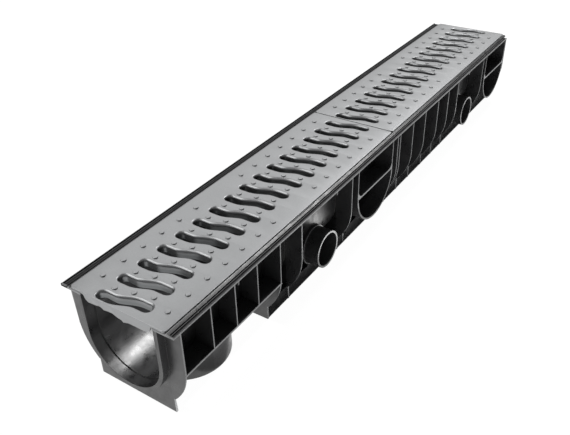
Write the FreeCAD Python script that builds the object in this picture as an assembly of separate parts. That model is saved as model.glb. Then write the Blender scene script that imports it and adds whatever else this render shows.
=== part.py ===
import FreeCAD, Part
import math
import os

from FreeCAD import Vector

# Channel drain: a moulded trough with two pressed gratings resting in its rim.
# X runs across the channel, Y along it from the spigot end to the socket end, Z up from the feet.

# Driving dimensions, all in millimetres
LENGTH = 1000.0
HEIGHT = 130.0
GRATING_WIDTH = 133.0
BORE = 98.0
WALL = 3.0
RIB = 2.6
FOOT_WIDTH = 112.0
OUTLET_DIAMETER = 110.0
STUB_DIAMETER = 52.0
SIDE_BRANCH_WIDTH = 108.0
EMBED = 0.5

# Clearances of the gratings in the rim and between each other
GRATING_SIDE_CLEARANCE = 0.5
GRATING_JOINT_GAP = 1.0

# Heights of the rim, measured down from the top of the gratings
EDGE_DEPTH = 3.0
KERB_DROP = 2.2
KERB_FALL = 1.2
LIP_DROP = 2.0
LIP_ROUND = 1.4
GROOVE_DROP = 4.2
BEAD_RISE = 0.6
RIM_DROP = 5.5
SEAT_Z = HEIGHT - EDGE_DEPTH
KERB_Z = HEIGHT - KERB_DROP
LIP_Z = HEIGHT - LIP_DROP
GROOVE_Z = HEIGHT - GROOVE_DROP
RIM_UNDER_Z = HEIGHT - RIM_DROP

# Widths across the rim
SEAT_EDGE = GRATING_WIDTH / 2 + GRATING_SIDE_CLEARANCE
KERB_WIDTH = 3.7
GROOVE_WIDTH = 5.6
BEAD_PLACE = 1.6
BEAD_WIDTH = 0.9
LIP_WIDTH = 1.7
RIB_SETBACK = 0.4
KERB_OUTER = SEAT_EDGE + KERB_WIDTH
LIP_INNER = KERB_OUTER + GROOVE_WIDTH
RIM_HALF = LIP_INNER + LIP_WIDTH
RIB_HALF = RIM_HALF - RIB_SETBACK
FOOT_HALF = FOOT_WIDTH / 2

# Locking strips on the kerbs, at the middle of each grating
STRIP_LENGTH = 54.0
STRIP_WIDTH = 0.8
STRIP_HEIGHT = 0.8

# Trough: a round bottom under upright walls
KEEL_HEIGHT = 21.0
BORE_RADIUS = BORE / 2
OUTER_RADIUS = BORE_RADIUS + WALL
AXIS_Z = KEEL_HEIGHT + OUTER_RADIUS
NEAR_Y = -LENGTH / 2
FAR_Y = LENGTH / 2

# Spigot at the near end and the socket at the far end that takes the next channel's spigot
SPIGOT_LENGTH = 9.5
SPIGOT_OUTER = 55.5
SPIGOT_INNER = 50.5
SPIGOT_BORE_DEPTH = 14.0
SOCKET_DEPTH = 12.0
SOCKET_CLEARANCE = 0.5
SOCKET_INNER = SPIGOT_OUTER + SOCKET_CLEARANCE
RIM_LAP = 12.0

# Ribs, as distances from the near end; the first three stand on the shelf over the bottom outlet
MIDDLE = LENGTH / 2
SHELF_RIBS = (56.0, 97.0, 138.0)
SHELF_END = 184.0
SHELF_DROP = 8.0
SHELF_Z = AXIS_Z - SHELF_DROP
SHELF_THICKNESS = 2.4
SHELF_ROOT = 4.0
CLOSING_RIB = LENGTH - SOCKET_DEPTH - RIB
RIBS_FROM_MIDDLE = (-269.0, -142.0, -2.0, 6.0, 52.0, 98.0, 149.0, 193.0)
RIBS_FROM_FAR_END = (264.0, 140.0)
FULL_RIBS = [SHELF_END] + [MIDDLE + step for step in RIBS_FROM_MIDDLE]
FULL_RIBS += [LENGTH - step for step in RIBS_FROM_FAR_END] + [CLOSING_RIB]

# Keel under the trough
KEEL_STEP = 0.6
WEB_BITE = 0.9
RAIL_HALF = FOOT_HALF - KEEL_STEP
NOTCH_Z = AXIS_Z - math.sqrt(RIB_HALF**2 - FOOT_HALF**2)

# Outlet under the first bays, and on both sides the stubs and branches, which repeat in each half
HALF_ENDS = (MIDDLE, LENGTH)
OUTLET_DRAFT = 1.0
OUTLET_Y = 92.0
OUTLET_WALL = 2.8
OUTLET_LIFT = 1.0
OUTLET_FREE_LENGTH = 19.0
STUB_WALL = 2.8
STUB_DROP = 25.0
STUB_Z = AXIS_Z - STUB_DROP
STUB_FREE_LENGTH = 21.0
STUB_COLLAR = 0.8
END_TO_STUB = 205.0
END_TO_BRANCH = 70.0
STUB_PLACES = [end - END_TO_STUB for end in HALF_ENDS]
BRANCH_PLACES = [end - END_TO_BRANCH for end in HALF_ENDS]
BRANCH_RISE = 7.0
BRANCH_Z = AXIS_Z + BRANCH_RISE
BRANCH_WALL = 2.6
BRANCH_SHELF_RISE = 9.0
BRANCH_SHELF_Z = AXIS_Z + BRANCH_SHELF_RISE
BRANCH_SHELF_CORNER = 11.0
BRANCH_LEDGE_DROP = 8.5
BRANCH_LEDGE_Z = RIM_UNDER_Z - BRANCH_LEDGE_DROP
BRANCH_LEDGE_REACH = 9.0
BRANCH_ROOT = 0.6 * BORE_RADIUS

# Pressed gratings: the sheet's top lies under the tops of the pips
SHEET = 2.0
GRATING_LENGTH = (LENGTH - GRATING_JOINT_GAP) / 2
CORNER_RADIUS = 4.0
EDGE_BEVEL = 0.7
PIP_HEIGHT = 0.7
PIP_DIAMETER = 6.0
PIP_ROW_HALF = 50.0
PIP_ROW_SHIFT = 3.75
SHEET_TOP = HEIGHT - PIP_HEIGHT
SLOT_PITCH = 31.25
SLOT_START = 13.0
SLOT_COUNT = int((GRATING_LENGTH - 2 * SLOT_START) / SLOT_PITCH) + 1
SLOT_END_SIDES = 4
SLOT_WAVE_STEPS = 4
SLOT_WIDTH = 12.0
SLOT_HALF_SPAN = 34.0
SLOT_SHIFT = 4.5
SLOT_WAVE = 16.0
FLANGE_THICKNESS = 1.8
FLANGE_DEPTH = 9.0
FLANGE_BEND = 11.0
SKIRT_HALF = 47.0
SKIRT_DEPTH = 12.5
SKIRT_WAVE = 1.2


def at(distance):
    """Y of a point given by its distance from the near end."""
    return NEAR_Y + distance


def edges(points, y):
    """Edges in a plane across the channel; four numbers in a point are an arc's middle and its end."""
    made = []
    start = Vector(points[0][0], y, points[0][1])
    for point in points[1:]:
        end = Vector(point[-2], y, point[-1])
        if len(point) == 4:
            made.append(Part.Arc(start, Vector(point[0], y, point[1]), end).toShape())
        else:
            made.append(Part.makeLine(start, end))
        start = end
    return made


def slab(points, y_from, y_to):
    """Closed outline across the channel, drawn along it from one Y to another."""
    outline = edges(list(points) + [points[0][-2:]], y_from)
    return Part.Face(Part.Wire(outline)).extrude(Vector(0, y_to - y_from, 0))


def box(x_from, x_to, y_from, y_to, z_from, z_to):
    corner = Vector(x_from, y_from, z_from)
    return Part.makeBox(x_to - x_from, y_to - y_from, z_to - z_from, corner)


def both_sides(shape):
    """The shape and its mirror image on the other side of the channel."""
    return [shape, shape.mirror(Vector(0, 0, 0), Vector(1, 0, 0))]


def merged(shapes):
    return shapes[0].fuse(shapes[1:])


def on_circle(radius, angle, centre_z=AXIS_Z):
    """Point on a circle about the trough's axis, with the angle in degrees below the horizontal."""
    turn = math.radians(angle)
    return (radius * math.cos(turn), centre_z - radius * math.sin(turn))


def trough_space(radius, y_from, y_to, top=HEIGHT + 1):
    """Solid that fills the trough inside a given radius."""
    left = (-radius, AXIS_Z)
    points = [(-radius, top), left, (0, AXIS_Z - radius, radius, AXIS_Z), (radius, top)]
    return slab(points, y_from, y_to)


def rim_seat():
    """Right-hand seat of the gratings and the kerb beside it, which falls towards the groove."""
    inner = OUTER_RADIUS - EMBED
    points = [
        (inner, SEAT_Z),
        (SEAT_EDGE, SEAT_Z),
        (SEAT_EDGE, KERB_Z),
        (KERB_OUTER, KERB_Z - KERB_FALL),
        (KERB_OUTER, RIM_UNDER_Z),
        (inner, RIM_UNDER_Z),
    ]
    return slab(points, NEAR_Y, FAR_Y)


def rim_edge(y_to):
    """Right-hand groove with a bead in it, the rounded outer lip and a thin wall at each end."""
    inner = KERB_OUTER - EMBED
    bead = KERB_OUTER + BEAD_PLACE
    round_in = LIP_ROUND * (1 - math.sqrt(0.5))
    points = [
        (inner, RIM_UNDER_Z),
        (inner, GROOVE_Z),
        (bead, GROOVE_Z),
        (bead, GROOVE_Z + BEAD_RISE),
        (bead + BEAD_WIDTH, GROOVE_Z + BEAD_RISE),
        (bead + BEAD_WIDTH, GROOVE_Z),
        (LIP_INNER, GROOVE_Z),
        (LIP_INNER, LIP_Z),
        (RIM_HALF - LIP_ROUND, LIP_Z),
        (RIM_HALF - round_in, LIP_Z - round_in, RIM_HALF, LIP_Z - LIP_ROUND),
        (RIM_HALF, RIM_UNDER_Z),
    ]
    stop_top = KERB_Z - KERB_FALL
    stops = [
        box(inner, LIP_INNER + EMBED, y, y + RIB, GROOVE_Z - EMBED, stop_top)
        for y in (NEAR_Y, y_to - RIB)
    ]
    return merged([slab(points, NEAR_Y, y_to)] + stops)


def locking_strips():
    """Low strips on the right-hand kerb that hold the gratings' edges."""
    strips = []
    for middle in (MIDDLE / 2, LENGTH - MIDDLE / 2):
        start = at(middle - STRIP_LENGTH / 2)
        top = KERB_Z + STRIP_HEIGHT
        strips.append(box(SEAT_EDGE, SEAT_EDGE + STRIP_WIDTH, start, start + STRIP_LENGTH, SEAT_Z, top))
    return strips


def full_rib(distance):
    """Transverse plate: upright sides, a curve concentric with the trough, a notch and the foot."""
    notch_angle = math.degrees(math.asin((AXIS_Z - NOTCH_Z) / RIB_HALF))
    arc = on_circle(RIB_HALF, notch_angle / 2) + (FOOT_HALF, NOTCH_Z)
    arc_left = on_circle(RIB_HALF, notch_angle / 2)
    top = RIM_UNDER_Z + EMBED
    points = [
        (-FOOT_HALF, 0),
        (FOOT_HALF, 0),
        (FOOT_HALF, NOTCH_Z),
        (arc[0], arc[1], RIB_HALF, AXIS_Z),
        (RIB_HALF, top),
        (-RIB_HALF, top),
        (-RIB_HALF, AXIS_Z),
        (-arc_left[0], arc_left[1], -FOOT_HALF, NOTCH_Z),
    ]
    return slab(points, at(distance), at(distance) + RIB)


def shelf_rib(distance):
    """Upright rib that stands on the shelf."""
    start = at(distance)
    return box(OUTER_RADIUS - EMBED, RIB_HALF, start, start + RIB, SHELF_Z, RIM_UNDER_Z + EMBED)


def shelf():
    start = at(SPIGOT_LENGTH)
    end = at(SHELF_END) + RIB
    return box(OUTER_RADIUS - SHELF_ROOT, RIB_HALF, start, end, SHELF_Z, SHELF_Z + SHELF_THICKNESS)


def keel():
    """Two foot rails and a middle rib under a web that touches the round bottom."""
    start = at(SHELF_END)
    end = at(CLOSING_RIB) + RIB
    web_top = KEEL_HEIGHT + WEB_BITE
    rail = box(RAIL_HALF - RIB, RAIL_HALF, start, end, 0, web_top)
    web = box(-RAIL_HALF, RAIL_HALF, start, end, web_top - RIB, web_top)
    centre_rib = box(-RIB / 2, RIB / 2, start, end, 0, web_top)
    return both_sides(rail) + [web, centre_rib]


def bottom_outlet():
    """Upright pipe under the first bays, closed by the trough's own wall; its root widens with draft."""
    radius = OUTLET_DIAMETER / 2
    base = Vector(0, at(OUTLET_Y), OUTLET_LIFT)
    root_height = SHELF_Z + EMBED - OUTLET_LIFT - OUTLET_FREE_LENGTH
    free = Part.makeCylinder(radius, OUTLET_FREE_LENGTH, base)
    root_base = base + Vector(0, 0, OUTLET_FREE_LENGTH)
    root = Part.makeCone(radius, radius + OUTLET_DRAFT, root_height, root_base)
    inner = Part.makeCylinder(radius - OUTLET_WALL, OUTLET_FREE_LENGTH + root_height, base)
    return merged([free, root]).cut(inner)


def round_stub(distance):
    """Pipe stub on the right-hand side, closed by the trough's wall, with a collar at its root."""
    radius = STUB_DIAMETER / 2
    along = Vector(1, 0, 0)
    free_start = RIB_HALF - STUB_FREE_LENGTH
    start = Vector(BRANCH_ROOT, at(distance), STUB_Z)
    shoulder = Vector(free_start, at(distance), STUB_Z)
    root = Part.makeCylinder(radius + STUB_COLLAR, free_start - BRANCH_ROOT, start, along)
    free = Part.makeCylinder(radius, STUB_FREE_LENGTH, shoulder, along)
    inner = Part.makeCylinder(radius - STUB_WALL, RIB_HALF - BRANCH_ROOT, start, along)
    return merged([root, free]).cut(inner)


def branch_outline(inset, base_z, top):
    """U-shaped wire across a side branch, in the YZ plane at X = 0."""
    half = SIDE_BRANCH_WIDTH / 2 - inset
    left_top = Vector(0, -half, top)
    left = Vector(0, -half, base_z)
    right = Vector(0, half, base_z)
    right_top = Vector(0, half, top)
    return Part.Wire([
        Part.makeLine(left_top, left),
        Part.Arc(left, Vector(0, 0, base_z - half), right).toShape(),
        Part.makeLine(right, right_top),
        Part.makeLine(right_top, left_top),
    ])


def branch_floor(inset):
    """Floor of the shallow channel inside a branch, with rounded corners, in the YZ plane."""
    half = SIDE_BRANCH_WIDTH / 2 - inset
    corner = BRANCH_SHELF_CORNER
    low = BRANCH_SHELF_Z
    high = low + corner
    mid = corner * (1 - math.sqrt(0.5))
    thick = BRANCH_WALL
    outer = [
        Part.makeLine(Vector(0, -half, high), Vector(0, -half, low - thick)),
        Part.makeLine(Vector(0, -half, low - thick), Vector(0, half, low - thick)),
        Part.makeLine(Vector(0, half, low - thick), Vector(0, half, high)),
    ]
    right_mid = Vector(0, half - mid, low + mid)
    left_mid = Vector(0, -half + mid, low + mid)
    inner = [
        Part.Arc(Vector(0, half, high), right_mid, Vector(0, half - corner, low)).toShape(),
        Part.makeLine(Vector(0, half - corner, low), Vector(0, -half + corner, low)),
        Part.Arc(Vector(0, -half + corner, low), left_mid, Vector(0, -half, high)).toShape(),
    ]
    return Part.Wire(outer + inner)


def side_branch(distance):
    """U-shaped branch on the right-hand side, with the floor and ledge of a shallow channel in it."""
    reach = Vector(RIB_HALF - BRANCH_ROOT, 0, 0)
    top = RIM_UNDER_Z + EMBED
    outer = Part.Face(branch_outline(0, BRANCH_Z, top)).extrude(reach)
    inner = Part.Face(branch_outline(BRANCH_WALL, BRANCH_Z, top)).extrude(reach)
    wall = outer.cut(inner)
    floor = Part.Face(branch_floor(BRANCH_WALL - EMBED)).extrude(reach)
    half = SIDE_BRANCH_WIDTH / 2 - EMBED
    ledge_reach = OUTER_RADIUS + BRANCH_LEDGE_REACH - BRANCH_ROOT
    ledge = box(0, ledge_reach, -half, half, BRANCH_LEDGE_Z, BRANCH_LEDGE_Z + RIB)
    branch = merged([wall, floor, ledge])
    branch.translate(Vector(BRANCH_ROOT, at(distance), 0))
    return branch


def channel_body():
    """The whole moulding: outer forms first, then the trough's space is taken out of them."""
    solids = [trough_space(OUTER_RADIUS, NEAR_Y, FAR_Y, SEAT_Z)]
    solids.append(trough_space(SPIGOT_OUTER, NEAR_Y, at(SPIGOT_LENGTH) + RIB, RIM_UNDER_Z + EMBED))
    socket_outer = SOCKET_INNER + WALL
    solids.append(trough_space(socket_outer, at(CLOSING_RIB), FAR_Y, RIM_UNDER_Z + EMBED))
    solids += both_sides(rim_seat())
    solids += [rim_edge(FAR_Y - RIM_LAP), both_sides(rim_edge(FAR_Y))[1]]
    for strip in locking_strips():
        solids += both_sides(strip)
    solids.append(full_rib(SPIGOT_LENGTH))
    solids += [full_rib(distance) for distance in FULL_RIBS]
    for distance in SHELF_RIBS:
        solids += both_sides(shelf_rib(distance))
    solids += both_sides(shelf())
    solids += keel()
    solids.append(bottom_outlet())
    for distance in STUB_PLACES:
        solids += both_sides(round_stub(distance))
    for distance in BRANCH_PLACES:
        solids += both_sides(side_branch(distance))
    body = merged(solids)
    spaces = [
        trough_space(BORE_RADIUS, NEAR_Y - 1, FAR_Y + 1),
        trough_space(SPIGOT_INNER, NEAR_Y - 1, at(SPIGOT_BORE_DEPTH)),
        trough_space(SOCKET_INNER, FAR_Y - SOCKET_DEPTH, FAR_Y + 1, RIM_UNDER_Z),
    ]
    return body.cut(spaces).removeSplitter()


def rounded_rectangle(half_x, half_y, radius, z):
    """Closed wire about the origin with round corners."""
    corner = radius * (1 - math.sqrt(0.5))
    parts = []
    for sx, sy in ((1, -1), (1, 1), (-1, 1), (-1, -1)):
        along_x = Vector(sx * (half_x - radius), sy * half_y, z)
        along_y = Vector(sx * half_x, sy * (half_y - radius), z)
        middle = Vector(sx * (half_x - corner), sy * (half_y - corner), z)
        first, last = (along_x, along_y) if sx * sy < 0 else (along_y, along_x)
        parts.append((first, middle, last))
    made = []
    for index, (first, middle, last) in enumerate(parts):
        made.append(Part.Arc(first, middle, last).toShape())
        made.append(Part.makeLine(last, parts[(index + 1) % 4][0]))
    return Part.Wire(made)


def slot_middle(step):
    """Middle line of a slot, about the origin: two straight ends with one wave between them."""
    straight = SLOT_HALF_SPAN - SLOT_WIDTH / 2
    if abs(step) == SLOT_WAVE_STEPS / 2 + 1:
        return math.copysign(straight, step), math.copysign(SLOT_SHIFT, step)
    turn = step / SLOT_WAVE_STEPS
    return 2 * SLOT_WAVE * turn, SLOT_SHIFT * math.sin(math.pi * turn)


def slot_side(offset, z):
    """Points of one long side of a slot, from left to right, offset from its middle line."""
    last = SLOT_WAVE_STEPS // 2 + 1
    line = [slot_middle(step) for step in range(-last, last + 1)]
    points = []
    for index, (x, y) in enumerate(line):
        before = line[max(index - 1, 0)]
        after = line[min(index + 1, len(line) - 1)]
        slope = math.atan2(after[1] - before[1], after[0] - before[0]) if 0 < index < len(line) - 1 else 0
        points.append(Vector(x - offset * math.sin(slope), y + offset * math.cos(slope), z))
    return points


def slot_end(side, z):
    """Points round one end of a slot, between its long sides."""
    centre = Vector(side * (SLOT_HALF_SPAN - SLOT_WIDTH / 2), side * SLOT_SHIFT, z)
    turns = [math.pi * (step / SLOT_END_SIDES - 0.5) for step in range(1, SLOT_END_SIDES)]
    radius = side * SLOT_WIDTH / 2
    return [centre + Vector(radius * math.cos(turn), radius * math.sin(turn), 0) for turn in turns]


def slot_outline(z):
    """Closed outline of a wavy slot with round ends, in few chords because it repeats many times."""
    half = SLOT_WIDTH / 2
    points = slot_side(-half, z) + slot_end(1, z) + slot_side(half, z)[::-1] + slot_end(-1, z)
    return Part.makePolygon(points + points[:1])


def slot_flange():
    """Wall drawn down all round a slot; its outer face, seen only from below, has straight sides."""
    z = SHEET_TOP - FLANGE_DEPTH
    out = SLOT_WIDTH / 2 + FLANGE_THICKNESS
    tip = SLOT_HALF_SPAN + FLANGE_THICKNESS
    half = [
        Vector(SLOT_WAVE, SLOT_SHIFT - out, z),
        Vector(tip, SLOT_SHIFT - out, z),
        Vector(tip, SLOT_SHIFT + out, z),
        Vector(FLANGE_BEND, SLOT_SHIFT + out, z),
    ]
    other_half = [Vector(-point.x, -point.y, z) for point in half]
    outline = Part.makePolygon(half + other_half + half[:1])
    return prism(outline, FLANGE_DEPTH - SHEET / 2)


def prism(wire, height):
    return Part.Face(wire).extrude(Vector(0, 0, height))


def skirt(side):
    """Turned-down flange at an end of a grating, with its lower edge drawn wavy by the pressing."""
    y = side * GRATING_LENGTH / 2
    low = HEIGHT - SKIRT_DEPTH
    top = SHEET_TOP - SHEET / 2
    places = [SKIRT_HALF * step / 3 for step in range(-3, 4)]
    swings = (0, 0.6, 0.2, 1, -0.4, -1, 0)
    nodes = [Vector(side * x, y, low + SKIRT_WAVE * swing) for x, swing in zip(places, swings)]
    curve = Part.BSplineCurve()
    curve.interpolate(nodes)
    corners = [Vector(nodes[-1].x, y, top), Vector(nodes[0].x, y, top)]
    wire = Part.Wire([
        curve.toShape(),
        Part.makeLine(nodes[-1], corners[0]),
        Part.makeLine(corners[0], corners[1]),
        Part.makeLine(corners[1], nodes[0]),
    ])
    return Part.Face(wire).extrude(Vector(0, -side * SHEET, 0))


def pressed_sheet():
    """Top sheet with its edge turned down all round to the seat."""
    half_x = GRATING_WIDTH / 2
    half_y = GRATING_LENGTH / 2
    blank = prism(rounded_rectangle(half_x, half_y, CORNER_RADIUS, SEAT_Z), SHEET_TOP - SEAT_Z)
    top_edges = [edge for edge in blank.Edges if edge.BoundBox.ZMin > SHEET_TOP - 0.01]
    blank = blank.makeChamfer(EDGE_BEVEL, top_edges)
    inner_radius = CORNER_RADIUS - SHEET
    hollow = rounded_rectangle(half_x - SHEET, half_y - SHEET, inner_radius, SEAT_Z - 1)
    return blank.cut(prism(hollow, SHEET_TOP - SHEET - SEAT_Z + 1))


def corner_pips(slots):
    """Raised pips beside the outermost slots; the many between them are surface texture."""
    height = PIP_HEIGHT + EMBED
    pip = Part.makeCylinder(PIP_DIAMETER / 2, height, Vector(0, 0, HEIGHT - height))
    middles = (slots[0].y + SLOT_PITCH / 2, slots[-1].y - SLOT_PITCH / 2)
    return [
        pip.translated(Vector(-side * PIP_ROW_HALF, middle + side * PIP_ROW_SHIFT, 0))
        for side in (-1, 1)
        for middle in middles
    ]


def grating():
    """Pressed grating centred on the origin along the channel."""
    first = SLOT_START - GRATING_LENGTH / 2
    slots = [Vector(0, first + SLOT_PITCH * index, 0) for index in range(SLOT_COUNT)]
    flange = slot_flange()
    solids = [pressed_sheet(), skirt(1), skirt(-1)] + corner_pips(slots)
    solids += [flange.translated(place) for place in slots]
    opening = prism(slot_outline(SHEET_TOP - FLANGE_DEPTH - 1), FLANGE_DEPTH + 2)
    return merged(solids).cut([opening.translated(place) for place in slots]).removeSplitter()


def save(name, shape):
    solid = shape.Solids[0] if len(shape.Solids) == 1 else shape
    solid.exportStep(os.path.join("parts", name + ".step"))
    box_of = solid.BoundBox
    sizes = (round(box_of.XLength, 2), round(box_of.YLength, 2), round(box_of.ZLength, 2))
    print(name, sizes, "solids", len(shape.Solids), "valid", shape.isValid())
    print("cubic centimetres", round(solid.Volume / 1000, 1))


def main():
    os.makedirs("parts", exist_ok=True)
    save("channel_body", channel_body())
    plate = grating()
    centre = (GRATING_LENGTH + GRATING_JOINT_GAP) / 2
    save("grating_near", plate.translated(Vector(0, -centre, 0)))
    save("grating_far", plate.translated(Vector(0, centre, 0)))


main()
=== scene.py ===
"""Looks of a one-metre drainage channel with two slotted gratings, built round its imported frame."""

import math

import bmesh
import bpy
from bpy.props import FloatProperty, FloatVectorProperty, IntProperty, PointerProperty
from mathutils import Matrix, Vector


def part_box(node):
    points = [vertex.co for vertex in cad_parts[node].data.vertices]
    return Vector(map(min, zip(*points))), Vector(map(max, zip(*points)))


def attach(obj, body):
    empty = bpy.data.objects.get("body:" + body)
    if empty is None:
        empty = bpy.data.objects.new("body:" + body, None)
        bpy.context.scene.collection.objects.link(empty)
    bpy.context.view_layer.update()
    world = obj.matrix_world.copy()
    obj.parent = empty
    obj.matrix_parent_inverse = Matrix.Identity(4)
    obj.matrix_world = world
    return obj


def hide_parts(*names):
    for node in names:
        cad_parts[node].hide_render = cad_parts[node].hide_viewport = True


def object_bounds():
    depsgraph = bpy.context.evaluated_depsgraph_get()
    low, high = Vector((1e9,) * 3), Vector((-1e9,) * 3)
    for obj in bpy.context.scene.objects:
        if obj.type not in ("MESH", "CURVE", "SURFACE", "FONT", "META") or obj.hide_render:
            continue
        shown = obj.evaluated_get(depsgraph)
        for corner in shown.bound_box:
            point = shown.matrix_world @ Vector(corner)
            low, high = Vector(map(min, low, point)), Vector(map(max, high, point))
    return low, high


bl_info = {
    "name": "Drainage channel looks",
    "version": (1, 0, 0),
    "blender": (4, 5, 0),
    "location": "3D View > Sidebar > Drainage",
    "description": "Finishes, pressed gratings and studio for a linear drainage channel",
    "category": "Object",
}

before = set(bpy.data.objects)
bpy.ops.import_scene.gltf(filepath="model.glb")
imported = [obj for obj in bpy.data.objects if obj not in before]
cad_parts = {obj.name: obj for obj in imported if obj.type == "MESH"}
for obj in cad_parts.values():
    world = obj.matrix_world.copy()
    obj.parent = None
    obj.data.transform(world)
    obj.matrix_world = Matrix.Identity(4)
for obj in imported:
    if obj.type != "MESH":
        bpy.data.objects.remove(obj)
bpy.context.view_layer.update()
CAD_LOW, CAD_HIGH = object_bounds()

MM = 0.001
PLATE_LENGTH = 500 * MM
PLATE_LOW, PLATE_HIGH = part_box("grating_near")

# Places on the moulding that its trim or its finish follows
AXIS_HEIGHT = 73 * MM
STUB_SETBACK = 205 * MM
STUB_HEIGHT = 48 * MM
BRANCH_SETBACK = 70 * MM

# Sockets of the Mix node that blend two colours.
MIX_FACTOR, MIX_A, MIX_B, MIX_RESULT = 0, 6, 7, 2


def linear(hex_colour):
    """Linear red, green and blue of an sRGB hex colour."""
    parts = [int(hex_colour[i:i + 2], 16) / 255 for i in (1, 3, 5)]
    return tuple(p / 12.92 if p <= 0.04045 else ((p + 0.055) / 1.055) ** 2.4 for p in parts)


def add(tree, kind, inputs=None, **settings):
    """Adds a node, sets its properties, links the sockets among its inputs and sets the values."""
    node = tree.nodes.new(kind)
    for name, value in settings.items():
        setattr(node, name, value)
    for name, value in (inputs or {}).items():
        if isinstance(value, bpy.types.NodeSocket):
            tree.links.new(value, node.inputs[name])
        else:
            node.inputs[name].default_value = value
    return node


def length(name, description, default):
    return FloatProperty(
        name=name, description=description, default=default, min=0, unit="LENGTH", precision=5
    )


def colour(name, description, default):
    return FloatVectorProperty(
        name=name, description=description, default=linear(default), subtype="COLOR", min=0, max=1
    )


class DrainGratingSizes(bpy.types.PropertyGroup):
    slot_count: IntProperty(name="Slots", description="Slots in one grating", default=16, min=3)
    slot_pitch: length("Slot pitch", "From one slot to the next", 31.25 * MM)
    slot_start: length("First slot", "From a grating's near end to its first slot", 13 * MM)
    near_half: length("Near half width", "From a slot's middle line to its near wall", 5.6 * MM)
    far_half: length("Far half width", "From a slot's middle line to its far wall", 7.1 * MM)
    near_lip: length("Near lip radius", "Rounding of a slot's near lip", 1.8 * MM)
    far_lip: length("Far lip radius", "Rounding of a slot's far lip", 3.5 * MM)
    slot_half_span: length("Slot half span", "From the middle to the end of a slot's wall", 33 * MM)
    slot_swing: length("Slot swing", "How far each end of a slot is shifted along the channel", 4.5 * MM)
    wave_half: length("Wave half length", "Half of the wavy part of a slot", 16 * MM)
    sheet: length("Sheet", "Thickness of the steel sheet", 1.5 * MM)
    wall_depth: length("Wall depth", "Depth of a slot's wall at its middle", 11 * MM)
    edge_round: length("Edge rounding", "Radius of the sheet's outer edge", 0.4 * MM)
    corner_radius: length("Corner radius", "Radius of the grating's corners", 4 * MM)
    pip_diameter: length("Pip diameter", "Width of a raised pip", 6.6 * MM)
    pip_height: length("Pip height", "Rise of a pip over the sheet", 1.15 * MM)
    joint_trim: length("End trim", "Taken off each end so that the joint shows", 0.4 * MM)


class DrainBodySizes(bpy.types.PropertyGroup):
    rib: length("Rib", "Thickness of the transverse ribs at their root", 2.6 * MM)
    rib_taper: length("Rib taper", "How much thinner a rib is at its outer edge", 1.1 * MM)
    rib_half: length("Rib half width", "From the middle to the ribs' outer edge", 77.6 * MM)
    axis_height: length("Trough axis height", "Height of the trough's axis over the floor", AXIS_HEIGHT)
    groove_floor: length("Groove floor", "Height of the rim groove's floor", 125.8 * MM)
    groove_sink: length("Groove sink", "How far the rim groove's floor is sunk", 1.0 * MM)
    rim_under: length("Rim underside", "Height of the rim's underside", 124.5 * MM)
    lip_spread: length("Left lip spread", "How far the left-hand lip's outer face is set out", 1.8 * MM)
    rim_lift: length("Rim lift", "How far the right-hand rim's lower edge is lifted", 0.6 * MM)
    rail_half: length("Rail half width", "From the middle to the keel's side", 55.4 * MM)
    keel_height: length("Keel height", "Height of the keel's sides over the floor", 21.0 * MM)
    foot_rise: length("Foot rise", "How far a rib's foot stands out of the keel's side", 0.2 * MM)
    feet_start: length("Feet start", "From the near end to the first foot at the earliest", 183 * MM)
    feet_end: length("Feet end", "From the near end to the last foot at the latest", 990 * MM)
    stub_setback: length("Stub setback", "From the end of a half to its pipe stub", STUB_SETBACK)
    stub_height: length("Stub height", "Height of the pipe stubs' axis over the floor", STUB_HEIGHT)
    collar_radius: length("Collar radius", "Radius of the collar at a stub's root", 26.8 * MM)
    collar_rise: length("Collar rise", "How far a collar is set out", 0.9 * MM)
    groove_inner: length("Groove inner side", "From the middle to the groove's near side", 69 * MM)
    groove_outer: length("Groove outer side", "From the middle to the groove's far side", 76.2 * MM)


class DrainFinishes(bpy.types.PropertyGroup):
    steel: colour("Steel", "Zinc coat of the gratings", "#a0a1a2")
    steel_dark: colour("Steel shadow tone", "Darker clouds in the zinc coat", "#98999a")
    # Painted shade on the slots' walls, deep in the slots
    steel_wall_shade: colour("Slot wall", "Drawn walls of the slots", "#787a7b")
    plastic: colour("Plastic", "Moulded body", "#121213")
    # Painted light: a lighter tone on the moulding's outer side, where light reaches its ribs and faces
    plastic_outer_light: colour("Lightened plastic", "Moulded body's outer side", "#2a2a2b")
    # Painted highlight on the outermost edges, where light catches them
    plastic_edge_highlight: colour("Plastic edge", "Highlighted outer edges of the ribs", "#8a8b8c")
    # Painted highlight on the ribs' feet on the keel
    plastic_foot_highlight: colour("Plastic foot", "Highlighted edges of the ribs' feet on the keel", "#c8c9ca")


class DrainStudio(bpy.types.PropertyGroup):
    lens: FloatProperty(
        name="Lens", description="Focal length on a 36 mm sensor", default=42.8, unit="CAMERA"
    )
    floor_half: length("Floor half size", "Half of the floor's side", 8.0)
    brightness: FloatProperty(name="Brightness", description="Factor on every lamp", default=1.0, min=0)


# Camera fitted to the photograph: its place, and its turn in degrees
CAMERA_PLACE = Vector((434.3, -832.4, 580.3)) * MM
CAMERA_AZIMUTH = 34.03
CAMERA_ELEVATION = 33.72
CAMERA_ROLL = -1.41


def camera_turn():
    """Turn of the camera: its right, up and backward axes as columns."""
    azimuth, elevation = math.radians(CAMERA_AZIMUTH), math.radians(CAMERA_ELEVATION)
    ahead = Vector((
        -math.sin(azimuth) * math.cos(elevation),
        math.cos(azimuth) * math.cos(elevation),
        -math.sin(elevation),
    ))
    level_right = Vector((math.cos(azimuth), math.sin(azimuth), 0))
    level_up = level_right.cross(ahead)
    roll = math.radians(CAMERA_ROLL)
    right = level_right * math.cos(roll) + level_up * math.sin(roll)
    up = right.cross(ahead)
    return Matrix((right, up, -ahead)).transposed().to_4x4()


def new_object(name, mesh):
    item = bpy.data.objects.new(name, mesh)
    bpy.context.scene.collection.objects.link(item)
    return item


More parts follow.
